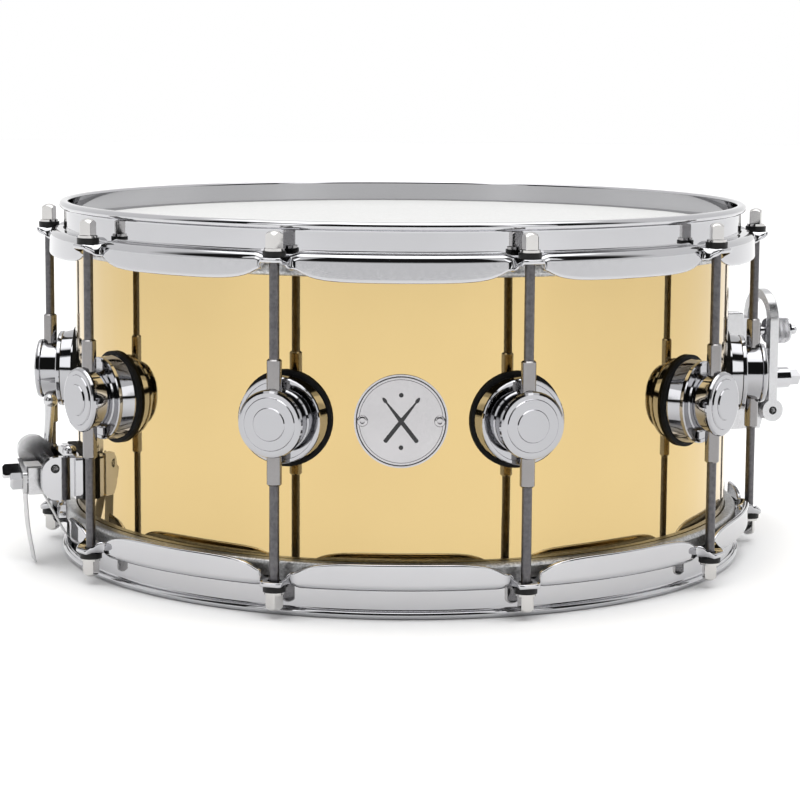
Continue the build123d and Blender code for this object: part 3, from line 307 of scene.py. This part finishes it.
EAR_CORNER = 3.4 * MM
SHELF_RISE = 1.7 * MM  # how much higher the flange leaves the wall between the ears
EDGE_ROUNDING = 0.85 * MM
SUPPORT = 0.15 * MM  # a flat span's outer points lie this near its ends, so that it shades as flat
ROD_HOLE_RADIUS = 3.4 * MM
GATE_SIZE = (54 * MM, 40 * MM, 26 * MM)  # along, out and up
GATE_OUT = 190 * MM
GATE_HEIGHT = 19 * MM


def arc(centre, radius, first, last, steps):
    """Points (r, z) on an arc, from one angle to the other, in degrees."""
    turns = [radians(first + (last - first) * i / steps) for i in range(steps + 1)]
    return [(centre[0] + radius * cos(t), centre[1] + radius * sin(t)) for t in turns]


def smooth_step(value, start, end):
    share = min(1.0, max(0.0, (value - start) / (end - start)))
    return share * share * (3 - 2 * share)


def bend_at(distance):
    """How far the flange is bent down, in degrees, at a distance along the hoop from an ear's middle."""
    return EAR_BEND + (FULL_BEND - EAR_BEND) * smooth_step(distance, TWIST_START, TWIST_END)


def length_at(distance):
    """How far the flange reaches along the sheet there: a round-cornered ear, then a scalloped skirt."""
    corner_start = TWIST_START + 1.6 * MM - EAR_CORNER
    into_corner = min(max(0.0, distance - corner_start), EAR_CORNER)
    ear = FLAT_LENGTH - EAR_CORNER + sqrt(EAR_CORNER**2 - into_corner**2)
    skirt = SKIRT_LENGTH - 6.6 * MM * exp(-max(0.0, distance - 8.5 * MM) / (7.5 * MM))
    blend = smooth_step(distance, TWIST_START + 0.6 * MM, TWIST_START + 2.2 * MM)
    return ear * (1 - blend) + skirt * blend


def shelf_at(distance):
    return SHELF + SHELF_RISE * smooth_step(distance, TWIST_START, TWIST_END + 2 * MM)


def hoop_section(bend, length, shelf):
    """The sheet's section (r, z). Its flange leaves the wall at the shelf and is bent down by that angle."""
    top = RIM_HEIGHT
    points = arc((WALL_INSIDE + RIM_ROUNDING, top - RIM_ROUNDING), RIM_ROUNDING, 180, 90, 5)
    points += arc((RIM_RADIUS - BEAD, top - BEAD), BEAD, 90, -62, 14)
    neck_height = top - 2 * BEAD - 0.5 * MM
    points += arc((WALL_OUTSIDE + NECK, neck_height), NECK, 115, 180, 5)
    points += [(WALL_OUTSIDE, neck_height - SUPPORT), (WALL_OUTSIDE, shelf + FOOT + SUPPORT)]
    points += arc((WALL_OUTSIDE + FOOT, shelf + FOOT), FOOT, 180, 270, 8)
    centre = (BEND_START, shelf - BEND)
    points += arc(centre, BEND, 90, 90 - bend, 12)
    turn = radians(bend)
    run = max(length - BEND * turn, 1.5 * MM)
    ahead = Vector((cos(turn), -sin(turn)))
    inwards = Vector((-sin(turn), -cos(turn)))
    start = Vector(points[-1])
    end = start + ahead * run
    soft = EDGE_ROUNDING
    quarter = [(1 - sin(radians(t)), 1 - cos(radians(t))) for t in (0, 22.5, 45, 67.5, 90)]
    points += [start + ahead * (run - soft) * share for share in (0.1, 0.9)]
    points += [end - ahead * soft * back + inwards * soft * down for back, down in quarter]
    other = end + inwards * SHEET
    points += [other - inwards * soft * up - ahead * soft * back for up, back in quarter]
    points += arc(centre, BEND - SHEET, 90 - bend, 90, 6)
    heel_height = shelf - SHEET + HEEL
    points += arc((WALL_INSIDE + HEEL, heel_height), HEEL, 270, 180, 6)
    points += [(WALL_INSIDE, heel_height + SUPPORT), (WALL_INSIDE, top - RIM_ROUNDING - SUPPORT)]
    return [(p[0], p[1]) for p in points]


def column_distances():
    """Distances along the hoop on one side of an ear's middle, close together where the flange twists."""
    half = radians(LUG_STEP / 2) * SKIRT_RADIUS
    stops = ((0.0, 4), (3.0 * MM, 32), (13.0 * MM, 14), (half, 0))
    found = []
    for (first, steps), (last, _) in zip(stops, stops[1:]):
        found += [first + (last - first) * i / steps for i in range(steps)]
    return found + [half]


def rod_hole(angle, height):
    """A cylinder the size of the hole that the rod goes through."""
    bpy.ops.mesh.primitive_cylinder_add(vertices=40, radius=ROD_HOLE_RADIUS, depth=14 * MM,
                                        location=at(angle, ROD_CIRCLE, height))
    return bpy.context.object


def gate_box(angle):
    """A box the size of the gate that a snare strap goes through."""
    bpy.ops.mesh.primitive_cube_add(size=1, location=at(angle, GATE_OUT, GATE_HEIGHT),
                                    rotation=Euler((0, 0, radians(angle))))
    box = bpy.context.object
    box.scale = GATE_SIZE
    return box


def hoop(name, upside_down):
    """One bent sheet all round the drum, with a hole at each ear; the lower hoop also has its two gates."""
    sides = column_distances()
    offsets = [-distance for distance in reversed(sides[1:])] + sides[:-1]
    rows = []
    for ear in range(LUG_COUNT):
        for offset in offsets:
            angle = FIRST_LUG + LUG_STEP * ear + degrees(offset / SKIRT_RADIUS)
            far = abs(offset)
            section = hoop_section(bend_at(far), length_at(far), shelf_at(far))
            rows.append([at(angle, r, RIM_HEIGHT - z if upside_down else z) for r, z in section])
    made = piece(name + "_sheet", *tube_grid(rows, True, True), chrome, "chrome", "drum")
    outwards(made)
    height = RIM_HEIGHT - SHELF if upside_down else SHELF
    tools = [rod_hole(FIRST_LUG + LUG_STEP * ear, height) for ear in range(LUG_COUNT)]
    if upside_down:
        tools += [gate_box(STRAINER_ANGLE), gate_box(BUTT_ANGLE)]
    cut(made, tools)
    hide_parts(name)
    return made


hoop("batter_hoop", False)
hoop("snare_side_hoop", True)

# ---------------------------------------------------------------- badge
BADGE_FACE = SHELL_RADIUS + 0.93 * MM
MARK_HEIGHT = 0.1 * MM


def on_badge(x, z, lift=0.0):
    turn = x / BADGE_FACE
    radius = BADGE_FACE + lift
    return Vector((radius * sin(turn), -radius * cos(turn), MIDDLE + z))


def badge_mark(name, outlines):
    """Thin raised enamel shapes: each outline is a pair of lists of points, its two sides from end to end."""
    vertices, faces = [], []
    for left, right in outlines:
        rows = []
        for (lx, lz), (rx, rz) in zip(left, right):
            rows.append([on_badge(lx, lz), on_badge(lx, lz, MARK_HEIGHT),
                         on_badge(rx, rz, MARK_HEIGHT), on_badge(rx, rz)])
        closed = left[0] == left[-1]
        if closed:
            rows = rows[:-1]
        found, quads = tube_grid(rows, closed, True)
        if not closed:
            last = len(found) - 4
            quads += [(3, 2, 1, 0), (last, last + 1, last + 2, last + 3)]
        start = len(vertices)
        vertices += found
        faces += [tuple(start + i for i in quad) for quad in quads]
    made = piece(name, vertices, faces, enamel, "badge_metal", "drum")
    outwards(made)
    return made


def ring(radius, width, steps=96):
    turns = [2 * pi * (i % steps) / steps for i in range(steps + 1)]
    sides = []
    for r in (radius - width / 2, radius + width / 2):
        sides.append([(r * cos(t), r * sin(t)) for t in turns])
    return sides


def stick(slant):
    """A drumstick: a plain shaft that tapers to a small oval tip."""
    length, butt, neck, tip = 27 * MM, 1.0 * MM, 0.42 * MM, 0.85 * MM
    shape = [(0, 0.3 * butt), (0.015, butt), (0.5, butt), (0.86, neck), (0.885, neck), (0.91, tip),
             (0.95, tip), (0.985, 0.55 * tip), (1.0, 0.15 * tip)]
    lean = radians(slant)
    left, right = [], []
    for share, half in shape:
        for side, points in ((-1, left), (1, right)):
            x, z = side * half, (share - 0.47) * length
            points.append((x * cos(lean) - z * sin(lean), x * sin(lean) + z * cos(lean)))
    return left, right


def dot(x, z, radius):
    turns = [pi * i / 10 for i in range(11)]
    left = [(x - radius * sin(t), z - radius * cos(t)) for t in turns]
    right = [(x + max(radius * sin(t), 0.01 * MM), z - radius * cos(t)) for t in turns]
    return left, right


badge_mark("badge_ring", [ring(21.2 * MM, 0.55 * MM), ring(19.9 * MM, 0.2 * MM)])
badge_mark("badge_sticks", [stick(38), stick(-38)])
badge_mark("badge_dots", [dot(0, 12.5 * MM, 1.1 * MM), dot(0, -12.5 * MM, 1.1 * MM)])

# ---------------------------------------------------------------- badge rivets
BADGE_RIVET_ALONG = 18.3 * MM
RIVET_PROFILE = (
    (-0.3, 2.7), (0.25, 2.7), (0.5, 2.55), (0.75, 2.2), (0.92, 1.7), (0.97, 1.3), (0.9, 1.05), (0.35, 0.95),
    (0.3, 0.1),
)


def badge_rivets():
    """Two round heads with a dimple in the middle, at the badge's left and right."""
    vertices, faces = [], []
    steps = 48
    for along in (-BADGE_RIVET_ALONG, BADGE_RIVET_ALONG):
        foot = sqrt(BADGE_FACE**2 - along**2)
        rows = []
        for lift, radius in RIVET_PROFILE:
            turns = [2 * pi * i / steps for i in range(steps)]
            rows.append([at(0, foot + lift * MM, MIDDLE + radius * MM * sin(t), along + radius * MM * cos(t))
                         for t in turns])
        found, quads = tube_grid(rows, False, True)
        quads += [tuple(range(steps)), tuple(range(len(found) - steps, len(found)))]
        start = len(vertices)
        vertices += found
        faces += [tuple(start + i for i in face) for face in quads]
    made = piece("round_rivets", vertices, faces, badge_metal, "badge_metal", "drum", 50)
    outwards(made)
    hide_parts("badge_rivets")


badge_rivets()

# ---------------------------------------------------------------- throw-off knob
KNOB_HEIGHT = 109.5 * MM
KNOB_RADIUS = 7.6 * MM
KNOB_START = 221.6 * MM
KNOB_LENGTH = 12.9 * MM
KNURLS = 40


def knob_radius(turn, share):
    """The knob's radius where its diamond knurl has cut it, share of the way from its back to its front."""
    edge = min(share, 1 - share) * KNOB_LENGTH
    if edge < 1.2 * MM:
        return KNOB_RADIUS - 0.5 * MM
    pitch = 2 * pi * KNOB_RADIUS / KNURLS
    along = share * KNOB_LENGTH / pitch * 2 * pi
    one = abs(sin((KNURLS * turn + along) / 2))
    two = abs(sin((KNURLS * turn - along) / 2))
    return KNOB_RADIUS - 0.42 * MM * (1 - min(one, two))


def knurled_knob():
    around, lengthwise = KNURLS * 8, 90
    rows = []
    for i in range(lengthwise + 1):
        share = i / lengthwise
        row = []
        for j in range(around):
            turn = 2 * pi * j / around
            radius = knob_radius(turn, share)
            row.append(at(STRAINER_ANGLE, KNOB_START + share * KNOB_LENGTH, KNOB_HEIGHT + radius * sin(turn),
                          radius * cos(turn)))
        rows.append(row)
    vertices, faces = tube_grid(rows, False, True)
    for end, share_out in ((0, 0.0), (len(rows) - 1, 0.5 * MM)):
        middle = len(vertices)
        distance = KNOB_START + (KNOB_LENGTH if end else 0)
        inner = []
        for radius, lift in ((6.4 * MM, share_out), (3.4 * MM, share_out)):
            inner.append([at(STRAINER_ANGLE, distance + lift, KNOB_HEIGHT + radius * sin(2 * pi * j / around),
                             radius * cos(2 * pi * j / around)) for j in range(around)])
        vertices += inner[0] + inner[1]
        for j in range(around):
            after = (j + 1) % around
            faces.append((end * around + j, end * around + after, middle + after, middle + j))
            faces.append((middle + j, middle + after, middle + around + after, middle + around + j))
        faces.append(tuple(range(middle + around, middle + 2 * around)))
    made = piece("knurled_knob", vertices, faces, chrome, "chrome", "knob", 28)
    outwards(made)
    return made


def lathe(name, profile, centre, axis, material, slot, body, steps=72, sharp=32):
    """A turned piece: the profile's points are (distance along the axis, radius), from end to end."""
    side = axis.orthogonal().normalized()
    other = axis.cross(side)
    rows = []
    for far, radius in profile:
        turns = [2 * pi * i / steps for i in range(steps)]
        rows.append([centre + axis * far + (side * cos(t) + other * sin(t)) * radius for t in turns])
    vertices, faces = tube_grid(rows, False, True)
    faces += [tuple(range(steps)), tuple(range(len(vertices) - steps, len(vertices)))]
    made = piece(name, vertices, faces, material, slot, body, sharp)
    outwards(made)
    return made


knob = knurled_knob()
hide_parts("adjust_knob")
SPINDLE_PROFILE = (
    (204.0, 2.5), (234.6, 2.5), (234.9, 2.7), (235.4, 2.7), (236.0, 2.2), (237.2, 2.2), (238.0, 2.6),
    (239.6, 2.6), (240.2, 2.1), (240.3, 1.0),
)
spindle = [(far * MM, radius * MM) for far, radius in SPINDLE_PROFILE]
spindle_axis = direction_out(STRAINER_ANGLE)
lathe("knob_spindle", spindle, Vector((0, 0, KNOB_HEIGHT)), spindle_axis, chrome, "chrome", "knob", 40)

# ---------------------------------------------------------------- painted shadow rings around the pins
LEVER_PIVOT = (218.4 * MM, 65.4 * MM)  # out and up
BUTT_PIVOT = (194.7 * MM, 53.0 * MM)
LEVER_PIN_END = 17.1 * MM  # from the middle of the fitting to the end of its pin
BUTT_PIN_END = 23.1 * MM
PIN_SHADOW_RING_PROFILE = ((-0.2, 1.5), (-0.2, 2.35), (0.12, 2.3), (0.18, 2.0), (0.12, 1.6), (0.0, 1.5))


def pin_shadow_rings(name, angle, out, height, reach, body):
    """A thin black ring around each end of a pivot pin: painted shadow of the gap between the pin and its
    bore.
    """
    profile = [(far * MM, radius * MM) for far, radius in PIN_SHADOW_RING_PROFILE]
    for end, side in (("left", -1), ("right", 1)):
        centre = at(angle, out, height, side * reach)
        lathe(f"{name}_{end}", profile, centre, direction_along(angle) * side, nylon, "black_nylon", body, 40)


# black rings that stand for the shadow in the gaps around the two pivot pins: painted shade
pin_shadow_rings("lever_pin_shadow_ring", STRAINER_ANGLE, *LEVER_PIVOT, LEVER_PIN_END, "drum")
pin_shadow_rings("butt_pin_shadow_ring", BUTT_ANGLE, *BUTT_PIVOT, BUTT_PIN_END, "drum")

# ---------------------------------------------------------------- snare wires
WIRE_COUNT = 20
WIRE_PITCH = 2.1 * MM
COIL_RADIUS = 0.78 * MM
WIRE_THICKNESS = 0.22 * MM
COIL_STEP = 2.2 * MM
wire_low, wire_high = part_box("snare_wires")
WIRE_HEIGHT = (wire_low.z + wire_high.z) / 2
WIRE_HALF_LENGTH = 134 * MM


def coiled_wire(offset):
    """One coiled snare wire, as rows of points around a helix."""
    turns = 2 * WIRE_HALF_LENGTH / COIL_STEP
    steps = int(turns * 9)
    rows = []
    for i in range(steps + 1):
        turn = 2 * pi * turns * i / steps
        distance = -WIRE_HALF_LENGTH + 2 * WIRE_HALF_LENGTH * i / steps
        row = []
        for corner in range(4):
            around = pi / 2 * corner
            radius = COIL_RADIUS + WIRE_THICKNESS * cos(around)
            spot = distance + WIRE_THICKNESS * sin(around)
            height = WIRE_HEIGHT + radius * sin(turn)
            row.append(at(STRAINER_ANGLE, spot, height, offset + radius * cos(turn)))
        rows.append(row)
    return tube_grid(rows, False, True)


def snare_wires():
    vertices, faces = [], []
    for number in range(WIRE_COUNT):
        found, quads = coiled_wire((number - (WIRE_COUNT - 1) / 2) * WIRE_PITCH)
        start = len(vertices)
        vertices += found
        faces += [tuple(start + i for i in quad) for quad in quads]
    made = piece("coiled_wires", vertices, faces, steel, "steel", "snares", 180)
    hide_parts("snare_wires")


snare_wires()

# ---------------------------------------------------------------- straps
STRAP_HALF_WIDTH = 7.25 * MM
STRAP_THICKNESS = 0.6 * MM
STRAP_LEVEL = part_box("snare_end_plates")[0].z - STRAP_THICKNESS / 2
STRAP_START = 137 * MM  # under the snares' end plate
STRAP_STEP = 1.5 * MM
CLAMP_ALONG = 2.4 * MM
GATE_BEND = (184.9 * MM, 19.5 * MM)  # where a strap bends in the hoop's gate
BUTT_GATE_BEND = (186.0 * MM, 13.8 * MM)
HOOP_INSIDE = (176.5 * MM, STRAP_LEVEL)  # where a strap turns up towards its gate
CARRIAGE_HOLD = (196.5 * MM, 62 * MM)  # a corner of the strap's route, at the carriage
CLAMP_HOLD = (199.2 * MM, 39.5 * MM)  # a corner of the butt strap's route, at the butt's clamp
CLAMP_BACK_MIDDLE = (199.2 * MM, 47 * MM)


def rounded_route(corners, radii):
    """Points close together along a line whose corners are rounded by those radii."""
    points = [Vector(corners[0])]
    for before, corner, after, radius in zip(corners, corners[1:], corners[2:], radii):
        corner = Vector(corner)
        into, out = (corner - Vector(before)).normalized(), (Vector(after) - corner).normalized()
        turn = into.angle(out)
        reach = radius * tan(turn / 2)
        steps = max(3, int(degrees(turn) / 6))
        centre = corner + (out - into).normalized() * radius / cos(turn / 2)
        first, last = corner - into * reach - centre, corner + out * reach - centre
        for i in range(steps + 1):
            share = i / steps
            point = first * sin((1 - share) * turn) / sin(turn) + last * sin(share * turn) / sin(turn)
            points.append(centre + point)
    points.append(Vector(corners[-1]))
    filled = [points[0]]
    for point in points[1:]:
        gap = (point - filled[-1]).length
        cuts = max(1, int(gap / STRAP_STEP))
        start = filled[-1]
        filled += [start.lerp(point, i / cuts) for i in range(1, cuts + 1)]
    return filled


def nearest(route, place):
    return min(range(len(route)), key=lambda i: (route[i] - Vector(place)).length)


def strap_piece(name, angle, along, route, first, last):
    """A strip of the strap from one point of its route to another."""
    rows = []
    for i in range(first, last + 1):
        heading = (route[min(i + 1, len(route) - 1)] - route[max(i - 1, 0)]).normalized()
        across = Vector((-heading.y, heading.x))
        edge = STRAP_HALF_WIDTH - 0.15 * MM
        section = (
            (-STRAP_HALF_WIDTH, 0), (-edge, -0.5), (edge, -0.5),
            (STRAP_HALF_WIDTH, 0), (edge, 0.5), (-edge, 0.5),
        )
        row = []
        for sideways, share in section:
            spot = route[i] + across * share * STRAP_THICKNESS
            row.append(at(angle, spot.x, spot.y, along + sideways))
        rows.append(row)
    vertices, faces = tube_grid(rows, False, True)
    count = len(section)
    faces += [tuple(range(count)), tuple(range(len(vertices) - count, len(vertices)))]
    made = piece(name, vertices, faces, strap, "strap_film", None, 40)
    outwards(made)
    return made


def strainer_strap():
    """The throw-off's strap, in two pieces that meet at the bend in the gate."""
    top = (CARRIAGE_HOLD[0], 86 * MM)
    corners = [top, CARRIAGE_HOLD, GATE_BEND, HOOP_INSIDE, (STRAP_START, STRAP_LEVEL)]
    route = rounded_route(corners, [4 * MM] * 3)
    bend = nearest(route, GATE_BEND)
    upper = strap_piece("strap_strainer_upper", STRAINER_ANGLE, 0, route, 0, bend)
    lower = strap_piece("strap_strainer_lower", STRAINER_ANGLE, 0, route, bend, len(route) - 1)
    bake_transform(upper)
    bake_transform(lower)
    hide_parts("strap_strainer")


def butt_strap():
    """The butt's strap: up behind the clamp block, over it, down in front, and a tail that hangs free."""
    over = [(199.2 * MM, 52.4 * MM), (207.3 * MM, 52.4 * MM)]
    tail_line = [(207.3 * MM, 36 * MM), (206.2 * MM, 20 * MM), (203 * MM, 1.5 * MM)]
    corners = [(STRAP_START, STRAP_LEVEL), HOOP_INSIDE, BUTT_GATE_BEND, CLAMP_HOLD, *over, *tail_line]
    route = rounded_route(corners, [6 * MM, 8 * MM, 8 * MM, 0.4 * MM, 0.4 * MM, 40 * MM, 60 * MM])
    bend = nearest(route, BUTT_GATE_BEND)
    held = nearest(route, CLAMP_BACK_MIDDLE)
    lower = strap_piece("strap_butt_lower", BUTT_ANGLE, CLAMP_ALONG, route, 0, bend)
    rise = strap_piece("strap_butt_rise", BUTT_ANGLE, CLAMP_ALONG, route, bend, held)
    tail = strap_piece("strap_butt_tail", BUTT_ANGLE, CLAMP_ALONG, route, held, len(route) - 1)
    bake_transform(lower)
    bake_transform(rise)
    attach(tail, "butt_clamp")
    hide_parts("strap_butt")


strainer_strap()
butt_strap()

# ---------------------------------------------------------------- camera, light and floor
FOCAL = 2266.62  # in pixels of an 800 pixel frame
FRAME_SIDE = 800


def make_camera():
    data = bpy.data.cameras.new("camera")
    data.sensor_width = 36
    data.lens = FOCAL / FRAME_SIDE * data.sensor_width
    data.shift_x = -0.0022
    data.shift_y = -0.0892
    data.clip_end = 50
    camera = bpy.data.objects.new("camera", data)
    camera.location = (0, -1.23328, 0.26296)
    aim = Vector((0, 0, 0.117247)) - camera.location
    camera.rotation_mode = "QUATERNION"
    roll = Euler((0, 0, radians(0.38))).to_quaternion()
    camera.rotation_quaternion = aim.to_track_quat("-Z", "Y") @ roll
    bpy.context.scene.collection.objects.link(camera)
    bpy.context.scene.camera = camera


def softbox(name, place, aim, width, height, power, reflected=True):
    data = bpy.data.lights.new(name, "AREA")
    data.shape = "RECTANGLE"
    data.size = width
    data.size_y = height
    data.energy = power
    light = bpy.data.objects.new(name, data)
    light.location = place
    light.rotation_mode = "QUATERNION"
    light.rotation_quaternion = (Vector(aim) - Vector(place)).to_track_quat("-Z", "Y")
    light.visible_camera = False
    light.visible_glossy = reflected
    bpy.context.scene.collection.objects.link(light)


def make_floor():
    material = surface("studio_floor", (0.97, 0.97, 0.97), (0.99, 0.99, 0.99), (0.6, 0.8), 0.0, 2)
    bpy.ops.mesh.primitive_grid_add(x_subdivisions=4, y_subdivisions=4, size=12)
    floor = bpy.context.object
    floor.name = "studio_floor"
    floor.data.materials.append(material)


def make_world():
    """A white studio with a bright ceiling, and a dark room in front with two tall softboxes."""
    world = bpy.data.worlds.new("studio")
    bpy.context.scene.world = world
    world.use_nodes = True
    nodes, links = world.node_tree.nodes, world.node_tree.links
    background = nodes["Background"]
    coordinates = nodes.new("ShaderNodeTexCoord")
    split = nodes.new("ShaderNodeSeparateXYZ")
    links.new(coordinates.outputs["Generated"], split.inputs["Vector"])

    def calculate(operation, first, second=None):
        node = nodes.new("ShaderNodeMath")
        node.operation = operation
        for socket, value in zip(node.inputs, (first, second)):
            if isinstance(value, float):
                socket.default_value = value
            elif value is not None:
                links.new(value, socket)
        return node.outputs[0]

    def within(value, low, high, soft):
        """1 between low and high, 0 outside, with soft edges."""
        rise = calculate("DIVIDE", calculate("SUBTRACT", value, low), soft)
        fall = calculate("DIVIDE", calculate("SUBTRACT", high, value), soft)
        inside = calculate("MINIMUM", rise, fall)
        return calculate("MINIMUM", calculate("MAXIMUM", inside, 0.0), 1.0)

    height = split.outputs["Z"]
    sideways = calculate("ABSOLUTE", split.outputs["X"])
    in_front = within(split.outputs["Y"], -2.0, -0.05, 0.25)
    dark_front = calculate("MULTIPLY", in_front, within(height, 0.0, 0.82, 0.03))
    depth = calculate("MAXIMUM", calculate("ABSOLUTE", split.outputs["Y"]), 0.001)
    turn = calculate("DIVIDE", sideways, depth)
    box = calculate("MULTIPLY", within(turn, 0.55, 1.0, 0.06), within(height, 0.12, 0.78, 0.03))
    dark = calculate("MULTIPLY", dark_front, calculate("SUBTRACT", 1.0, box))
    ceiling = within(height, 0.80, 3.0, 0.05)
    level = calculate("ADD", calculate("MULTIPLY", ceiling, 1.5), 0.98)
    level = calculate("MULTIPLY", level, calculate("SUBTRACT", 1.0, calculate("MULTIPLY", dark, 0.985)))
    path = nodes.new("ShaderNodeLightPath")
    camera_sees = path.outputs["Is Camera Ray"]
    level = calculate("MAXIMUM", level, camera_sees)
    links.new(level, background.inputs["Strength"])
    background.inputs["Color"].default_value = (1, 1, 1, 1)


make_camera()
make_world()
make_floor()
softbox("overhead", (0.0, -0.1, 1.9), (0, 0, 0), 1.4, 1.0, 5)
softbox("front_floor", (0.0, -1.0, 1.3), (0, -0.25, 0), 1.6, 1.0, 4, reflected=False)
softbox("front_left", (-1.7, -1.9, 1.1), (0, 0, 0.1), 0.7, 1.2, 3)
softbox("front_right", (1.7, -1.9, 1.1), (0, 0, 0.1), 0.7, 1.2, 3)
bpy.context.scene.view_settings.view_transform = "Standard"
